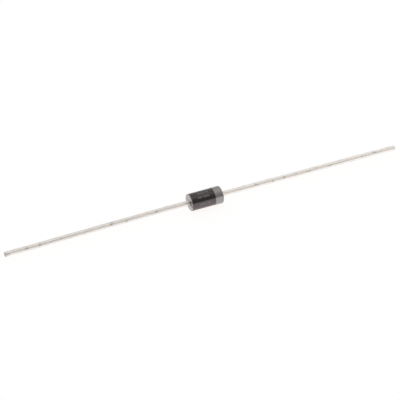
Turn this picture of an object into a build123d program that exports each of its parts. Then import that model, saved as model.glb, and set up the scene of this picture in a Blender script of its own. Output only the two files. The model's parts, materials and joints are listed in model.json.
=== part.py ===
"""Axial rectifier diode: a moulded body with a printed cathode band, and inside it a silicon die
soldered between the nail heads of two tinned copper leads.

The lead axis is X, from anode to cathode, and the origin is the middle of the body."""

import os
from math import radians, sqrt

from build123d import *

# Driving dimensions, in millimetres
body_diameter = 2.63
body_length = 5.05
body_edge_radius = 0.12
lead_diameter = 0.76
lead_length = 29.5  # the free length of each lead, from the body's end face to the cut tip
lead_tip_chamfer = 0.06
anode_bend_angle = 0.93  # how far the anode lead turns down, in degrees
anode_bend_length = 9.0  # how much of its free length that turn takes, from the body's end face on
head_diameter = 1.5  # the nail head upset on the inner end of each lead
head_thickness = 0.4
head_edge_radius = 0.08
neck_diameter = 1.0  # the wire behind the nail head, which narrows to the lead's own diameter
neck_end_depth = 0.1  # how far inside the body's end face the neck has become plain wire
die_side = 1.0
die_thickness = 0.25
solder_thickness = 0.05
solder_margin = 0.05  # how far the solder stays inside the edges of the die
coating_cover = 0.1  # the depth of junction coating over the die's corners
coating_bulge = 0.1  # how far the coating swells out between the nail heads
band_width = 1.32  # measured from the cathode end face
band_wrap_angle = 60.0  # how far the ink follows the body's rounded edge, in degrees
ink_thickness = 0.02

# Values that follow from them
body_radius = body_diameter / 2
body_end = body_length / 2
body_edge_centre = (body_end - body_edge_radius, body_radius - body_edge_radius)
lead_radius = lead_diameter / 2
anode_bend_radius = anode_bend_length / radians(anode_bend_angle)
solder_side = die_side - 2 * solder_margin
solder_face = die_thickness / 2
head_face = solder_face + solder_thickness
head_back = head_face + head_thickness
head_radius = head_diameter / 2
neck_end = body_end - neck_end_depth
coating_radius = die_side / sqrt(2) + coating_cover
coating_seat_radius = coating_radius - coating_bulge
band_edge = body_end - band_width
band_radius = body_radius + ink_thickness

# Silicon die: a square chip across the lead axis, in the middle of the body
with BuildPart() as silicon_die:
    with BuildSketch(Plane.YZ.offset(-die_thickness / 2)):
        Rectangle(die_side, die_side)
    extrude(amount=die_thickness)

# Solder: one thin pad between the die and each nail head
with BuildPart() as cathode_solder:
    with BuildSketch(Plane.YZ.offset(solder_face)):
        Rectangle(solder_side, solder_side)
    extrude(amount=solder_thickness)

with BuildPart() as anode_solder:
    mirror(cathode_solder.part, about=Plane.YZ)

# Lead root: what each lead has inside the body, an upset nail head and a neck that narrows to the wire
with BuildPart() as lead_root:
    with BuildSketch(Plane.XY):
        with BuildLine():
            Polyline(
                (head_face, 0),
                (head_face, head_radius),
                (head_back, head_radius),
                (head_back, neck_diameter / 2),
                (neck_end, lead_radius),
                (neck_end, 0),
                close=True,
            )
        make_face()
    revolve(axis=Axis.X)
    head_rims = lead_root.edges().filter_by(GeomType.CIRCLE).group_by(SortBy.RADIUS)[-1]
    fillet(head_rims.sort_by(Axis.X)[-1], head_edge_radius)

# Cathode lead: its wire is straight, with a tip cut off square
with BuildPart() as cathode_lead:
    add(lead_root.part)
    with BuildSketch(Plane.YZ.offset(neck_end)):
        Circle(lead_radius)
    extrude(amount=neck_end_depth + lead_length)
    chamfer(cathode_lead.faces().sort_by(Axis.X)[-1].edges(), lead_tip_chamfer)

# Anode lead: its wire turns down a little where it leaves the body, and is straight from there to its tip
with BuildPart() as anode_lead:
    mirror(lead_root.part, about=Plane.YZ)
    with BuildSketch(Plane.YZ.offset(-neck_end)):
        Circle(lead_radius)
    with BuildLine(Plane.XZ):
        exit_run = Line((-neck_end, 0), (-body_end, 0))
        bend = JernArc(exit_run @ 1, (-1, 0), anode_bend_radius, anode_bend_angle)
        PolarLine(bend @ 1, lead_length - anode_bend_length, direction=bend % 1)
    sweep()
    chamfer(anode_lead.faces().sort_by(Axis.X)[0].edges(), lead_tip_chamfer)

# Junction coating: a bead of silicone that fills the gap between the nail heads, around the die
with BuildPart() as junction_coating:
    with BuildSketch(Plane.XY):
        with BuildLine():
            swell = ThreePointArc(
                (-head_face, coating_seat_radius), (0, coating_radius), (head_face, coating_seat_radius)
            )
            Polyline(swell @ 1, (head_face, 0), (-head_face, 0), swell @ 0)
        make_face()
    revolve(axis=Axis.X)
    for filled in (silicon_die, anode_solder, cathode_solder):
        add(filled.part, mode=Mode.SUBTRACT)

# Body: epoxy moulded around the whole stack, so its hollow is the shape of what it holds
with BuildPart() as epoxy_body:
    with BuildSketch(Plane.YZ.offset(-body_end)):
        Circle(body_radius)
    extrude(amount=body_length)
    fillet(epoxy_body.edges().filter_by(GeomType.CIRCLE), body_edge_radius)
    for held in (anode_lead, cathode_lead, junction_coating, anode_solder, cathode_solder, silicon_die):
        add(held.part, mode=Mode.SUBTRACT)

# Cathode band: a ring of ink around the cathode end, which follows the body's rounded edge
with BuildPart() as cathode_band:
    with BuildSketch(Plane.XY):
        with BuildLine():
            skin = CenterArc(body_edge_centre, body_edge_radius + ink_thickness, 90, -band_wrap_angle)
            seat = CenterArc(body_edge_centre, body_edge_radius, 90, -band_wrap_angle)
            Line(skin @ 1, seat @ 1)
            Polyline(skin @ 0, (band_edge, band_radius), (band_edge, body_radius), seat @ 0)
        make_face()
    revolve(axis=Axis.X)

pieces = {
    "epoxy_body": epoxy_body,
    "cathode_band": cathode_band,
    "anode_lead": anode_lead,
    "cathode_lead": cathode_lead,
    "silicon_die": silicon_die,
    "anode_solder": anode_solder,
    "cathode_solder": cathode_solder,
    "junction_coating": junction_coating,
}
os.makedirs("parts", exist_ok=True)
for name, piece in pieces.items():
    piece.part.label = name
    export_step(piece.part, f"parts/{name}.step")
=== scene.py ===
"""The looks of the axial rectifier diode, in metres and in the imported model's own frame.

Finer meshes of the same form stand for the solids that show, with the small flaws of a moulded
and handled part. Each material has its own finish, and the part lies on a white table under soft
light."""

import json
from math import atan2, ceil, cos, pi, radians, sin, tan

import bmesh
import bpy
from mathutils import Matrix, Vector, noise


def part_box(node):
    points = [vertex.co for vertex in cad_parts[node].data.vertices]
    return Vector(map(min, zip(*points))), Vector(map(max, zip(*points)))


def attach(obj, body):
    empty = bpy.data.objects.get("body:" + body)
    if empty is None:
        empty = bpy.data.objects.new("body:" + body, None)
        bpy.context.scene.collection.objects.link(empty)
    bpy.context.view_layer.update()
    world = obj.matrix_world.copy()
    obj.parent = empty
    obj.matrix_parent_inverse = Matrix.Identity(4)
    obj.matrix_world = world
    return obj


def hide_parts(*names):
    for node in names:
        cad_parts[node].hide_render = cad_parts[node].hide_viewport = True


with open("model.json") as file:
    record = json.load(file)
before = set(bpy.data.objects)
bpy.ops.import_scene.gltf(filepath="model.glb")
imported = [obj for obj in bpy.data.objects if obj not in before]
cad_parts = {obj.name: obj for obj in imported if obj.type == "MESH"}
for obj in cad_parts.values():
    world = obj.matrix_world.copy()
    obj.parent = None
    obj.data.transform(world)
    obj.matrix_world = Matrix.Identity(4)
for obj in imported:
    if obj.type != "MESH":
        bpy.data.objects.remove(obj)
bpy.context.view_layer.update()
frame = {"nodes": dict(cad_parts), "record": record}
MM = 0.001

# Sizes that the frame gives
body_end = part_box("epoxy_body")[1].x
body_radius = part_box("epoxy_body")[1].y
band_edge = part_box("cathode_band")[0].x
band_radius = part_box("cathode_band")[1].y
lead_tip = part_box("cathode_lead")[1].x
head_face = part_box("cathode_lead")[0].x
head_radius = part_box("cathode_lead")[1].y
coating_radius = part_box("junction_coating")[1].y
anode_mount = frame["record"]["mounts"][0]
lead_radius = anode_mount["dims"]["r_mm"] * MM
lead_length = lead_tip - body_end
floor_level = -band_radius

# Sizes of the solids' smaller features
body_edge_radius = 0.12 * MM
band_wrap_angle = radians(60)
tip_chamfer = 0.06 * MM
head_thickness = 0.4 * MM
head_edge_radius = 0.08 * MM
neck_radius = 0.5 * MM
neck_end_depth = 0.1 * MM
coating_bulge = 0.1 * MM

# Values that follow from these
body_edge_centre = (body_end - body_edge_radius, body_radius - body_edge_radius)
ink_thickness = band_radius - body_radius
head_back = head_face + head_thickness
neck_end = body_end - neck_end_depth
coating_seat_radius = coating_radius - coating_bulge
anode_bend_angle = atan2(-anode_mount["axis"][2], -anode_mount["axis"][0])
anode_bend_length = lead_length - tip_chamfer - anode_mount["dims"]["length_mm"] * MM
anode_bend_radius = anode_bend_length / anode_bend_angle

# Small departures of the body from its ideal form, as the photo shows them or the making leaves them
flash_height = 0.008 * MM  # the line where the two halves of the mould met
flash_half_width = radians(0.9)
flash_angles = (radians(10), radians(190))
lean_angle = radians(95)  # both end faces lean to the anode side at this angle of their rims
anode_lean = 0.08 * MM
cathode_lean = 0.03 * MM
anode_swell = 0.05 * MM  # how far the middle of the anode end face stands out
recess_width = 0.06 * MM  # the ring where the resin has drawn back from each lead
recess_radius = lead_radius + recess_width
recess_depth = 0.04 * MM
hole_angle = radians(174)  # where the recess around the anode lead opens into a hole
hole_spread = radians(100)
hole_width = 0.12 * MM
hole_depth = 0.05 * MM
hole_reach = 0.35 * MM  # how far from the recess the face is drawn along
hole_painted_shade = 2.2  # how many times over a point's share of the hole is painted as shade, up to full
matt_wrap = 0.03 * MM  # how far the matt end faces reach round the rims
wider_wrap = 0.09 * MM  # the same at the angle below, on the anode end's rim
wider_wrap_angle = radians(85)
wider_wrap_spread = radians(90)
rim_wear_reach = 0.12 * MM  # how far the worn edge reaches along the body

# Painted shade on the anode end face, in smears that run out from the lead: (angle, width, level)
painted_shade_smears = (
    (radians(151), 0.85 * MM, 1.0),
    (radians(174), 0.8 * MM, 0.65),
    (radians(187), 0.45 * MM, 0.9),
)
painted_shade_fade = 0.16  # how much less painted shade lies towards the rim than beside the lead
painted_shade_core = 0.6 * MM  # the radius where it starts to fade
painted_shade_core_edge = 0.25 * MM  # how much further out it has faded

# Small departures of the printed band
band_waver = 0.015 * MM  # how far its edge strays
band_waver_reach = 0.3 * MM  # how far from the edge the ink is drawn along
band_waver_pace = 4  # how quickly the edge strays around the body
band_waver_seed = 0.3
rub_angle = radians(157)  # where the ink is rubbed thin at the rim
rub_spread = radians(40)
rub_reach = 0.45 * MM

# Small departures of the leads
lead_wander = 0.03 * MM  # how far a lead strays from its line
wander_period = 4 * MM
wander_rise = 5  # it wanders in full from one part in this many of its length on
wander_rows = (0, 9)  # the rows of the noise that it follows sideways and up
lead_unevenness = 0.004 * MM  # how far the drawn wire's radius strays
unevenness_pace = 3  # how many times as quickly as the wire wanders
unevenness_spread = 2  # how far apart in the noise its sides are
tip_slant = tan(radians(5))  # the tips are not cut quite square
tip_slant_reach = 0.4 * MM
nick_width = radians(70)
nick_depth = 0.015 * MM

# Nicks in the leads: (distance from the body, angle, length, level)
anode_nicks = (
    # The first two darken the anode lead where it meets the body and beside its tip.
    (0.0, radians(140), 1.1 * MM, 0.6),
    (29.3 * MM, radians(160), 1.4 * MM, 0.8),
    (26.15 * MM, radians(149), 0.9 * MM, 0.5),
    (24.1 * MM, radians(143), 0.9 * MM, 0.5),
    (12.75 * MM, radians(143), 0.8 * MM, 0.8),
    (10.35 * MM, radians(167), 0.8 * MM, 0.8),
    (5.5 * MM, radians(145), 0.8 * MM, 0.6),
    (7.5 * MM, radians(250), 0.6 * MM, 0.5),
)
cathode_nicks = (
    (8.6 * MM, radians(162), 0.7 * MM, 0.75),
    (10.5 * MM, radians(144), 0.8 * MM, 0.9),
    (12.5 * MM, radians(137), 0.7 * MM, 0.5),
    (5.1 * MM, radians(300), 0.6 * MM, 0.5),
    (20.3 * MM, radians(60), 0.6 * MM, 0.5),
)

# Print marks, in rows: (angle, start, height, lengths of the bars)
mark_rows = (
    (radians(101), -1.4 * MM, 0.24 * MM, (1.1 * MM, 0.5 * MM)),
    (radians(130), -1.55 * MM, 0.28 * MM, (0.7 * MM, 1.0 * MM)),
    (radians(177), -1.45 * MM, 0.28 * MM, (1.0 * MM, 0.5 * MM)),
)
mark_gap = 0.2 * MM
mark_film = 0.006 * MM  # how far the ink stands proud of the body
mark_seat = 0.004 * MM  # how far it reaches into the body
mark_raggedness = 0.012 * MM
mark_row_step = 9  # how far apart in the noise the rows are, for each radian between them
mark_seed = 1  # keeps the ragged outlines the same at each run

# How finely the meshes are cut
body_steps = 160
skin_steps = 40  # along half of the body
end_face_steps = 14
flash_cuts = (-1, -0.4, 0, 0.4, 1)  # across a flash line, in shares of its half width
band_run_steps = 12
lead_steps = 48
lead_rings = 420
arc_steps = 10
head_edge_steps = 4
mark_cell = 0.04 * MM
sharp_angle = radians(35)  # edges that turn further than this stay sharp


def arc(centre_x, centre_r, radius, start, end, steps=arc_steps):
    """Points (x, r) along an arc, with angles from the X axis towards larger r."""
    turns = [start + (end - start) * i / steps for i in range(steps + 1)]
    return [(centre_x + radius * cos(turn), centre_r + radius * sin(turn)) for turn in turns]


def run(start, end, steps):
    """Points (x, r) along a straight line, without its last point."""
    (x0, r0), (x1, r1) = start, end
    return [(x0 + (x1 - x0) * i / steps, r0 + (r1 - r0) * i / steps) for i in range(steps)]


def even_angles(steps):
    return [2 * pi * i / steps for i in range(steps)]


def on_circle(x, r, angle):
    return Vector((x, r * cos(angle), r * sin(angle)))


def hump(share):
    """A smooth bump: 1 at 0, and nothing from half a width away."""
    return max(0, 1 - (2 * share) ** 2) ** 2


def linked_piece(name, work):
    """Turns finished mesh work into a smooth-shaded object in the scene."""
    bmesh.ops.recalc_face_normals(work, faces=work.faces)
    for face in work.faces:
        face.smooth = True
    mesh = bpy.data.meshes.new(name)
    work.to_mesh(mesh)
    work.free()
    mesh.set_sharp_from_angle(angle=sharp_angle)
    piece = bpy.data.objects.new(name, mesh)
    bpy.context.scene.collection.objects.link(piece)
    return piece


def revolved(name, profile, angles, place=on_circle, slot_of=lambda x, r, angle: 0, masks=None):
    """A piece turned about X, whose points carry masks: named shares from 0 to 1.

    A profile that starts and ends on the axis is capped there, and any other is a closed loop."""
    masks = masks or {}
    capped = profile[0][1] == 0
    rings = profile[1:-1] if capped else profile
    work = bmesh.new()
    for mask in masks:
        work.verts.layers.float.new(mask)
    loops = []
    for x, r in rings:
        loop = [work.verts.new(place(x, r, angle)) for angle in angles]
        for mask, share_of in masks.items():
            layer = work.verts.layers.float[mask]
            for vertex, angle in zip(loop, angles):
                vertex[layer] = share_of(x, r, angle)
        loops.append(loop)
    around = [(i, (i + 1) % len(angles)) for i in range(len(angles))]
    pairs = list(zip(rings, rings[1:], loops, loops[1:]))
    if not capped:
        pairs.append((rings[-1], rings[0], loops[-1], loops[0]))
    for (x0, r0), (x1, r1), first, second in pairs:
        for i, j in around:
            face = work.faces.new((first[i], second[i], second[j], first[j]))
            face.material_index = slot_of((x0 + x1) / 2, (r0 + r1) / 2, angles[i])
    if capped:
        for (x, r), loop in ((rings[0], loops[0]), (rings[-1], loops[-1])):
            hub = work.verts.new(sum((vertex.co for vertex in loop), Vector()) / len(loop))
            for i, j in around:
                face = work.faces.new((hub, loop[i], loop[j]))
                face.material_index = slot_of(x, 0, angles[i])
    return linked_piece(name, work)


def stand_for(piece, node, slot, *materials):
    """Gives a piece its materials and its place in the table."""
    for material in materials:
        piece.data.materials.append(material)
    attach(piece, "root")
    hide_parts(node)


class Finish:
    """One material: a Principled shader and the patterns that feed it, measured in millimetres."""

    # A mix node has sockets of the same name for each type of data, so those for colours go by number
    mix_colours = (6, 7)
    mixed_colour = 2

    def __init__(self, name, **sockets):
        self.material = bpy.data.materials.new(name)
        self.material.use_nodes = True
        self.tree = self.material.node_tree
        self.shader = self.tree.nodes["Principled BSDF"]
        for socket, value in sockets.items():
            self.shader.inputs[socket.replace("_", " ")].default_value = value

    def node(self, kind, inputs=(), **settings):
        made = self.tree.nodes.new(kind)
        for key, value in settings.items():
            setattr(made, key, value)
        for socket, value in dict(inputs).items():
            if isinstance(value, bpy.types.NodeSocket):
                self.tree.links.new(value, made.inputs[socket])
            else:
                made.inputs[socket].default_value = value
        return made

    def grain(self, size, detail=2.0, stretch=1.0, shift=0.0):
        """A noise from 0 to 1 with features of that size in mm, drawn out along X by stretch."""
        place = self.node("ShaderNodeTexCoord").outputs["Object"]
        per_metre = 1 / (size * MM)
        scale = (per_metre / stretch, per_metre, per_metre)
        mapping = {"Vector": place, "Location": grey(shift), "Scale": scale}
        scaled = self.node("ShaderNodeMapping", mapping).outputs["Vector"]
        pattern = {"Vector": scaled, "Scale": 1.0, "Detail": detail}
        return self.node("ShaderNodeTexNoise", pattern).outputs["Fac"]

    def mask(self, name, patches=None):
        """One of the mesh's masks, broken up by a field of patches."""
        share = self.node("ShaderNodeAttribute", attribute_name=name).outputs["Fac"]
        if patches is None:
            return share
        made = self.node("ShaderNodeMath", {0: share, 1: patches}, operation="MULTIPLY")
        return made.outputs["Value"]

    def graded(self, field, low, high, at=(0.3, 0.7)):
        """A value or a colour that goes from low to high as the field passes through that range."""
        span = {"Value": field, "From Min": at[0], "From Max": at[1]}
        made = self.node("ShaderNodeMapRange", span)
        if isinstance(low, tuple):
            return self.mixed(made.outputs["Result"], low, high)
        made.inputs["To Min"].default_value = low
        made.inputs["To Max"].default_value = high
        return made.outputs["Result"]

    def mixed(self, share, first, second):
        made = self.node("ShaderNodeMix", data_type="RGBA")
        self.tree.links.new(share, made.inputs["Factor"])
        for number, colour in zip(self.mix_colours, (first, second)):
            if isinstance(colour, bpy.types.NodeSocket):
                self.tree.links.new(colour, made.inputs[number])
            else:
                made.inputs[number].default_value = (*colour, 1.0)
        return made.outputs[self.mixed_colour]

    def feed(self, socket, value):
        self.tree.links.new(value, self.shader.inputs[socket])

    def relief(self, field, depth):
        """Bump of that depth in mm."""
        inputs = {"Height": field, "Distance": depth * MM, "Strength": 1.0}
        self.feed("Normal", self.node("ShaderNodeBump", inputs).outputs["Normal"])


def grey(value):
    return (value, value, value)


def tinted(value, tint):
    return tuple(value * share for share in tint)


def moulded_epoxy():
    """The black resin of the body's skin, paler where the mesh says that it is worn."""
    warm = (1.0, 0.87, 0.875)
    finish = Finish("moulded_epoxy", IOR=2.05, Specular_Tint=(*warm, 1.0))
    resin = finish.graded(finish.grain(0.25, detail=4), tinted(0.007, warm), tinted(0.013, warm))
    patches = finish.graded(finish.grain(0.12, detail=4, shift=9), 0.0, 1.0, at=(0.45, 0.6))
    scuffs = finish.mask("wear", patches)
    finish.feed("Base Color", finish.mixed(scuffs, resin, grey(0.04)))
    finish.feed("Roughness", finish.graded(finish.grain(0.12, detail=3, shift=3), 0.19, 0.26))
    finish.relief(finish.grain(0.06, detail=2), depth=0.0012)
    return finish.material


def end_epoxy_with_painted_light():
    """The matt resin of the end faces, pale partly from its matt finish and partly as a painted
    sheen, with painted shade where the mesh's mask says.
    """
    warm = (1.0, 0.965, 0.95)
    darkening_colour = (0.045, 0.03, 0.027)
    finish = Finish("end_epoxy_with_painted_light", IOR=1.35, Specular_IOR_Level=0.1)
    # The pale base colour is partly the matt finish and partly a painted sheen, the grazing
    # reflection of the bright table.
    matt = finish.graded(finish.grain(0.09, detail=3), tinted(0.48, warm), tinted(0.585, warm))
    patches = finish.graded(finish.grain(0.16, detail=3, shift=8), 0.85, 1.0)
    # Painted shade on the anode end face, beside the lead and in the hole beside it.
    darkening = finish.mask("painted_shade", patches)
    finish.feed("Base Color", finish.mixed(darkening, matt, darkening_colour))
    finish.feed("Roughness", finish.graded(finish.grain(0.1, detail=2, shift=5), 0.4, 0.55))
    finish.relief(finish.grain(0.06, detail=3), depth=0.006)
    return finish.material


def silver_ink(name, thick, thin_at):
    """Ink whose metal flakes lie that thick.

    Where its grain is below thin_at, the resin shows through."""
    warm = (1.0, 0.95, 0.93)
    sparse = tinted(thick * 0.85, warm)
    dense = tinted(thick * 1.15, warm)
    rubbed_thin = tinted(thick * 0.2, warm)
    fade_range = (thin_at - 0.06, thin_at)
    finish = Finish(name, Metallic=0.88, IOR=1.6)
    flakes = finish.graded(finish.grain(0.06, detail=3), sparse, dense)
    worn = finish.graded(finish.grain(0.14, detail=5, shift=13), 1.0, 0.0, at=fade_range)
    left = finish.mixed(finish.mask("rubbed"), flakes, rubbed_thin)
    finish.feed("Base Color", finish.mixed(worn, left, grey(0.05)))
    finish.feed("Roughness", finish.graded(finish.grain(0.08, detail=2, shift=7), 0.26, 0.4))
    finish.relief(finish.grain(0.07, detail=3), depth=0.002)
    return finish.material


def dull_tin(name, tone, roughness):
    """Tin plate of that tone, with streaks from the drawing, stains, and darker in its nicks."""
    warm = (1.0, 0.94, 0.89)
    darkening_colour = (0.36, 0.31, 0.28)
    stain_share = 0.6
    tone_range = 0.04
    roughness_range = 0.055
    finish = Finish(name, Metallic=0.8)
    streaks = finish.grain(0.09, detail=4, stretch=22)
    bright = finish.graded(streaks, tinted(tone - tone_range, warm), tinted(tone + tone_range, warm))
    blots = finish.grain(0.4, detail=5, stretch=2.5, shift=11)
    stains = finish.graded(blots, 0.0, 1.0, at=(0.59, 0.76))
    stained = finish.mixed(stains, bright, tinted(tone * stain_share, warm))
    patches = finish.graded(finish.grain(0.15, detail=3, shift=6), 0.45, 1.0)
    darkening = finish.mask("nicks", patches)
    finish.feed("Base Color", finish.mixed(darkening, stained, darkening_colour))
    uneven = finish.grain(0.3, detail=4, stretch=6, shift=2)
    smoothest = roughness - roughness_range
    roughest = roughness + roughness_range
    finish.feed("Roughness", finish.graded(uneven, smoothest, roughest))
    finish.relief(streaks, depth=0.004)
    return finish.material


def cut_copper():
    """The sheared wire ends, tarnished to a grey brown."""
    dark = (0.42, 0.37, 0.34)
    light = (0.6, 0.55, 0.52)
    finish = Finish("cut_copper", Metallic=0.4)
    finish.feed("Base Color", finish.graded(finish.grain(0.2, detail=3), dark, light))
    finish.feed("Roughness", finish.graded(finish.grain(0.1, detail=2), 0.45, 0.6))
    finish.relief(finish.grain(0.05, detail=3), depth=0.006)
    return finish.material


def inner_finish(name, dark, light, grain_size, smoothest, roughest, metallic=0.0):
    """A plain finish with a fine grain, for a piece that is sealed inside the body."""
    finish = Finish(name, Metallic=metallic)
    finish.feed("Base Color", finish.graded(finish.grain(grain_size, detail=3), dark, light))
    uneven = finish.grain(grain_size, detail=2, shift=4)
    finish.feed("Roughness", finish.graded(uneven, smoothest, roughest))
    return finish.material


def head_edge(start, end):
    """The rounded edge at the back of a nail head."""
    centre = (head_back - head_edge_radius, head_radius - head_edge_radius)
    return arc(*centre, head_edge_radius, start, end, head_edge_steps)


# Body: the outer skin, and inside it the hollow that holds the heads and the coating
def body_profile():
    edge_r = body_edge_centre[1]
    rim = arc(*body_edge_centre, body_edge_radius, pi / 2, 0)
    end_face = run((body_end, edge_r), (body_end, recess_radius), end_face_steps)
    hollow = [
        (body_end, recess_radius),
        (body_end - recess_depth, lead_radius),
        (neck_end, lead_radius),
        (head_back, neck_radius),
        *head_edge(0, pi / 2),
        (head_face, head_radius),
        (head_face, coating_seat_radius),
    ]
    half = run((0, body_radius), rim[0], skin_steps)[1:] + rim + end_face[1:] + hollow
    mirrored = [(-x, r) for x, r in reversed(half)]
    return [(0, body_radius)] + half + [(0, coating_radius)] + mirrored


def body_angles():
    """Even steps, with finer ones across each flash line."""
    fine = [line + flash_half_width * cut for line in flash_angles for cut in flash_cuts]
    clear = [
        angle
        for angle in even_angles(body_steps)
        if all(abs(angle - line) > 2 * flash_half_width for line in flash_angles)
    ]
    return sorted(fine + clear)


def in_hole(x, r, angle):
    """How much a point of the anode end face is drawn into the hole beside the lead."""
    closeness = max(0, 1 - max(0, r - recess_radius) / hole_reach)
    return (x < 0) * closeness * hump((angle - hole_angle) / hole_spread)


def painted_shade(x, r, angle):
    """How much painted shade a point of the anode end face takes, in smears beside the lead and in
    the hole.
    """
    on_face = -x >= body_end - recess_depth
    faded = 1 - painted_shade_fade * max(0, min(1, (r - painted_shade_core) / painted_shade_core_edge))
    smears = [
        faded * level * hump(r * sin(angle - towards) / width) * (cos(angle - towards) > 0)
        for towards, width, level in painted_shade_smears
    ]
    return on_face * max(*smears, min(1, hole_painted_shade * in_hole(x, r, angle)))


def rim_wear(x, r, angle):
    """Most on the rounded edges, and less along the skin beside them."""
    beside = body_end - body_edge_radius - abs(x)
    return (r > body_radius - body_edge_radius) * max(0, 1 - max(0, beside) / rim_wear_reach)


def leaning(x, r, angle):
    """Where along X a point of the outside is. The ends shift, and less so towards the middle."""
    lean, swell = (anode_lean, anode_swell) if x < 0 else (cathode_lean, 0)
    reach = (abs(x) - band_edge) / (body_end - body_edge_radius - band_edge)
    shift = swell + lean * cos(angle - lean_angle) * r / body_radius
    return x - shift * max(0, min(1, reach))


def body_place(x, r, angle):
    """Shapes the outside as the mould left it, opens the hole, and leaves the hollow as it is."""
    if abs(x) < body_end - recess_depth and r < body_radius - body_edge_radius:
        return on_circle(x, r, angle)
    nearness = max(0, *(1 - abs(angle - line) / flash_half_width for line in flash_angles))
    flash = flash_height * nearness * (r > body_radius - body_edge_radius)
    hole = in_hole(x, r, angle)
    sunk = hole_depth * hole * (r < recess_radius)
    widened = hole_width * hole * (r >= recess_radius)
    return on_circle(leaning(x, r, angle) + sunk, r + flash + widened, angle)


def is_end_face(x, r, angle):
    wider = (x < 0) * hump((angle - wider_wrap_angle) / wider_wrap_spread)
    return int(abs(x) > body_end - matt_wrap - (wider_wrap - matt_wrap) * wider)


# The second mask is painted shade on the anode end face.
body_masks = {"wear": rim_wear, "painted_shade": painted_shade}
body = revolved("moulded_body", body_profile(), body_angles(), body_place, is_end_face, body_masks)
stand_for(body, "epoxy_body", "epoxy", moulded_epoxy(), end_epoxy_with_painted_light())


# Cathode band: a film of ink that follows the body's rounded edge
def band_profile():
    wrap_end = pi / 2 - band_wrap_angle
    skin = arc(*body_edge_centre, body_edge_radius + ink_thickness, pi / 2, wrap_end)
    seat = arc(*body_edge_centre, body_edge_radius, wrap_end, pi / 2)
    seat_end = (body_edge_centre[0], body_radius)
    return (
        run((band_edge, band_radius), skin[0], band_run_steps)
        + skin
        + seat
        + run(seat_end, (band_edge, body_radius), band_run_steps)[1:]
        + [(band_edge, body_radius)]
    )


def band_place(x, r, angle):
    """Lets the printed edge waver a little, always inside the width that the solid has."""
    around = (band_waver_pace * cos(angle), band_waver_pace * sin(angle), band_waver_seed)
    waver = 0.5 + 0.5 * noise.noise(around)
    near_edge = max(0, 1 - (x - band_edge) / band_waver_reach)
    return on_circle(leaning(x, r, angle) + band_waver * waver * near_edge, r, angle)


def rubbed(x, r, angle):
    return hump((body_end - x) / rub_reach) * hump((angle - rub_angle) / rub_spread)


band_angles = even_angles(body_steps)
band = revolved("printed_band", band_profile(), band_angles, band_place, masks={"rubbed": rubbed})
stand_for(band, "cathode_band", "band_ink", silver_ink("band_ink", thick=0.362, thin_at=0.3))


# Print marks: rows of plain worn bars in the band's ink, on the side that faces the camera
def add_mark(work, start, length, height, angle):
    """One bar: a thin curved slab with a ragged outline."""
    columns = ceil(length / mark_cell)
    rows = ceil(height / mark_cell)

    def layer(radius):
        grid = []
        for i in range(columns + 1):
            column = []
            for j in range(rows + 1):
                x = start + length * i / columns
                lift = height * (j / rows - 0.5)
                spot = (x / mark_cell, angle * mark_row_step, lift / mark_cell)
                stray = noise.noise_vector(spot) * mark_raggedness
                point = on_circle(x + stray.x, radius, angle + (lift + stray.y) / radius)
                column.append(work.verts.new(point))
            grid.append(column)
        return grid

    top = layer(body_radius + mark_film)
    bottom = layer(body_radius - mark_seat)
    for grid in (top, bottom):
        for i in range(columns):
            for j in range(rows):
                work.faces.new((grid[i][j], grid[i + 1][j], grid[i + 1][j + 1], grid[i][j + 1]))
    edge = [(i, 0) for i in range(columns)]
    edge += [(columns, j) for j in range(rows)]
    edge += [(i, rows) for i in range(columns, 0, -1)]
    edge += [(0, j) for j in range(rows, 0, -1)]
    for (i, j), (k, m) in zip(edge, edge[1:] + edge[:1]):
        work.faces.new((top[i][j], top[k][m], bottom[k][m], bottom[i][j]))


noise.seed_set(mark_seed)
mark_work = bmesh.new()
for mark_angle, mark_start, mark_height, lengths in mark_rows:
    for mark_length in lengths:
        add_mark(mark_work, mark_start, mark_length, mark_height, mark_angle)
        mark_start += mark_length + mark_gap
marks = linked_piece("print_marks", mark_work)
marks.data.materials.append(silver_ink("worn_ink", thick=0.18, thin_at=0.22))
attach(marks, "root")


# Leads: drawn wire with a nail head, a little uneven as handled wire is
def lead_profile():
    return [
        (head_face, 0),
        (head_face, head_radius),
        *head_edge(pi / 2, 0),
        (head_back, neck_radius),
        *run((neck_end, lead_radius), (lead_tip - tip_chamfer, lead_radius), lead_rings),
        (lead_tip - tip_chamfer, lead_radius),
        (lead_tip, lead_radius - tip_chamfer),
        (lead_tip, 0),
    ]


def straight(distance):
    """Where a lead's middle is at that distance from the body: how far out, how low, how turned."""
    return distance, 0, 0


def bent(distance):
    """The same for the anode lead, which turns down beside the body and then runs straight."""
    turning = min(max(distance, 0), anode_bend_length)
    turn = turning / anode_bend_radius
    rest = distance - turning
    out = anode_bend_radius * sin(turn) + rest * cos(turn)
    low = anode_bend_radius * (1 - cos(turn)) + rest * sin(turn)
    return out, low, turn


def nick_mask(nicks):
    """How far into one of its nicks a point of a lead is."""

    def share(x, r, angle):
        deepest = 0
        for distance, towards, length, level in nicks:
            turn = (angle - towards + pi) % (2 * pi) - pi
            near = hump((x - body_end - distance) / length) * hump(turn / nick_width)
            deepest = max(deepest, level * near)
        return deepest

    return share


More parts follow.
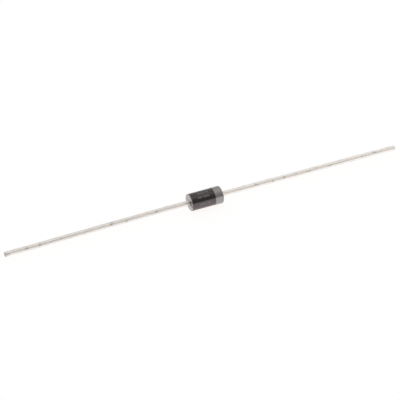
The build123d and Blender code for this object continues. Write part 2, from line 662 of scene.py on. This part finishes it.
def lead_place(side, route, seed, nick_share):
    """Where a point of the cathode lead's profile goes on the lead at that side, 1 or -1."""
    sideways, upwards = wander_rows

    def place(x, r, angle):
        free = max(0, (x - body_end) / lead_length)
        along = x / wander_period
        wander = lead_wander * min(1, free * wander_rise)
        around = (unevenness_spread * cos(angle), seed + unevenness_spread * sin(angle))
        swell = lead_unevenness * noise.noise((along * unevenness_pace, *around)) * (free > 0)
        girth = r + swell - nick_depth * nick_share(x, r, angle)
        across = girth * cos(angle) + wander * noise.noise((along, seed, sideways))
        height = girth * sin(angle) + wander * noise.noise((along, seed, upwards))
        at_tip = max(0, 1 - (lead_tip - x) / tip_slant_reach)
        cut = tip_slant * (lead_radius + r * sin(angle)) * at_tip
        out, low, turn = route(x - cut - body_end)
        reach = body_end + out + height * sin(turn)
        return Vector((side * reach, across, height * cos(turn) - low))

    return place


def is_cut_face(x, r, angle):
    return int(x > lead_tip - tip_chamfer)


copper = cut_copper()
# Painted shade: both leads are the same tin, and the anode lead's tone is set lower than the cathode
# lead's.
anode_tin_painted_darker = dull_tin("anode_tin_painted_darker", tone=0.905, roughness=0.445)
cathode_tin = dull_tin("cathode_tin", tone=0.96, roughness=0.47)
for name, node, side, route, seed, nicks, tin in (
    ("anode_wire", "anode_lead", -1, bent, 1.5, anode_nicks, anode_tin_painted_darker),
    ("cathode_wire", "cathode_lead", 1, straight, 6.5, cathode_nicks, cathode_tin),
):
    nick_share = nick_mask(nicks)
    place = lead_place(side, route, seed, nick_share)
    lead_masks = {"nicks": nick_share}
    wire = revolved(name, lead_profile(), even_angles(lead_steps), place, is_cut_face, lead_masks)
    stand_for(wire, node, "tinned_copper", tin, copper)

# Pieces sealed inside the body keep their own meshes
silicon = inner_finish(
    "lapped_silicon",
    dark=(0.16, 0.16, 0.18),
    light=(0.24, 0.24, 0.27),
    grain_size=0.08,
    smoothest=0.3,
    roughest=0.42,
)
solder = inner_finish(
    "reflowed_solder",
    dark=(0.48, 0.48, 0.49),
    light=(0.62, 0.62, 0.63),
    grain_size=0.06,
    smoothest=0.35,
    roughest=0.47,
    metallic=1.0,
)
silicone = inner_finish(
    "cured_silicone",
    dark=(0.70, 0.69, 0.64),
    light=(0.80, 0.79, 0.75),
    grain_size=0.15,
    smoothest=0.4,
    roughest=0.52,
)
for node, material in (
    ("silicon_die", silicon),
    ("anode_solder", solder),
    ("cathode_solder", solder),
    ("junction_coating", silicone),
):
    frame["nodes"][node].data.materials.clear()
    frame["nodes"][node].data.materials.append(material)

# Camera, at the photo's angle and distance
camera_azimuth = radians(-25.96)
camera_elevation = radians(33.5)
camera_distance = 430 * MM
focal_pixels = 2912.6
image_pixels = 400
origin_pixel = (204.84, 198.5)  # where the middle of the body is in the photo

back = Vector(
    (
        sin(camera_azimuth) * cos(camera_elevation),
        -cos(camera_azimuth) * cos(camera_elevation),
        sin(camera_elevation),
    )
)
right = Vector((cos(camera_azimuth), sin(camera_azimuth), 0))
up = back.cross(right)
camera_data = bpy.data.cameras.new("camera")
camera_data.lens = focal_pixels / image_pixels * camera_data.sensor_width
camera_data.clip_start = 10 * MM
camera_data.clip_end = 10
camera = bpy.data.objects.new("camera", camera_data)
bpy.context.scene.collection.objects.link(camera)
bpy.context.scene.camera = camera
pixel_size = camera_distance / focal_pixels
pixels_right = image_pixels / 2 - origin_pixel[0]
pixels_down = image_pixels / 2 - origin_pixel[1]
aim = (right * pixels_right - up * pixels_down) * pixel_size
camera.location = aim + back * camera_distance
camera.rotation_mode = "QUATERNION"
camera.rotation_quaternion = (-back).to_track_quat("-Z", "Y")

# White table: mostly even glow, with a little matt paint that takes the shadow and leaves it warm
table_half_size = 1500 * MM
table_paint = (0.03, 0.112, 0.18)
open_light = 0.79  # what the whole sky gives the table where nothing shades it


def white_table():
    material = bpy.data.materials.new("white_table")
    material.use_nodes = True
    tree = material.node_tree
    tree.nodes.clear()
    output = tree.nodes.new("ShaderNodeOutputMaterial")
    total = tree.nodes.new("ShaderNodeAddShader")
    glow = tree.nodes.new("ShaderNodeEmission")
    glow.inputs["Color"].default_value = (*(1 - share * open_light for share in table_paint), 1)
    paint = tree.nodes.new("ShaderNodeBsdfDiffuse")
    paint.inputs["Color"].default_value = (*table_paint, 1)
    tree.links.new(glow.outputs["Emission"], total.inputs[0])
    tree.links.new(paint.outputs["BSDF"], total.inputs[1])
    tree.links.new(total.outputs["Shader"], output.inputs["Surface"])
    return material


table_mesh = bpy.data.meshes.new("table")
corners = ((-1, -1), (1, -1), (1, 1), (-1, 1))
places = [(x * table_half_size, y * table_half_size, floor_level) for x, y in corners]
table_mesh.from_pydata(places, [], [(0, 1, 2, 3)])
table_mesh.materials.append(white_table())
table = bpy.data.objects.new("table", table_mesh)
bpy.context.scene.collection.objects.link(table)

# Room light: a soft box at each end of the part, dimmer straight beyond the leads, a dark room on the
# side that the camera stands on, and a low white wall all around. Each patch of the room is
# (direction, degrees from it where the patch starts, degrees from it where it is full, level)
room_level = 0.65
dark_front = ((back.x, back.y, 1.17), 115, 60, 0.088)
left_box = ((-1, 0.01, 1.07), 63.5, 61, 1.13)
left_box_middle = ((-1, 0, 0), 85, 65, 0.73)
right_box = ((1, 0.07, 0.08), 62.5, 57, 1.16)
right_box_middle = ((1, 0, 0), 52, 36, 0.7)
low_wall = ((0, 0, -1), 95.5, 93.5, 1.0)


def room_light():
    world = bpy.data.worlds.new("room")
    world.use_nodes = True
    tree = world.node_tree
    direction = tree.nodes.new("ShaderNodeTexCoord").outputs["Generated"]

    def patched(level, towards, start, full, target):
        """The level, changed to the target in a soft patch of the room around that direction."""
        facing = tree.nodes.new("ShaderNodeVectorMath")
        facing.operation = "DOT_PRODUCT"
        facing.inputs[1].default_value = Vector(towards).normalized()
        tree.links.new(direction, facing.inputs[0])
        fade = tree.nodes.new("ShaderNodeMapRange")
        fade.interpolation_type = "SMOOTHSTEP"
        fade.inputs["From Min"].default_value = cos(radians(start))
        fade.inputs["From Max"].default_value = cos(radians(full))
        tree.links.new(facing.outputs["Value"], fade.inputs["Value"])
        mix = tree.nodes.new("ShaderNodeMix")
        tree.links.new(fade.outputs["Result"], mix.inputs["Factor"])
        if isinstance(level, float):
            mix.inputs["A"].default_value = level
        else:
            tree.links.new(level, mix.inputs["A"])
        mix.inputs["B"].default_value = target
        return mix.outputs["Result"]

    level = room_level
    for patch in (dark_front, left_box, left_box_middle, right_box, right_box_middle, low_wall):
        level = patched(level, *patch)
    surround = tree.nodes["Background"]
    surround.inputs["Color"].default_value = (1, 1, 1, 1)
    tree.links.new(level, surround.inputs["Strength"])
    bpy.context.scene.world = world


room_light()
bpy.context.scene.view_settings.view_transform = "Standard"
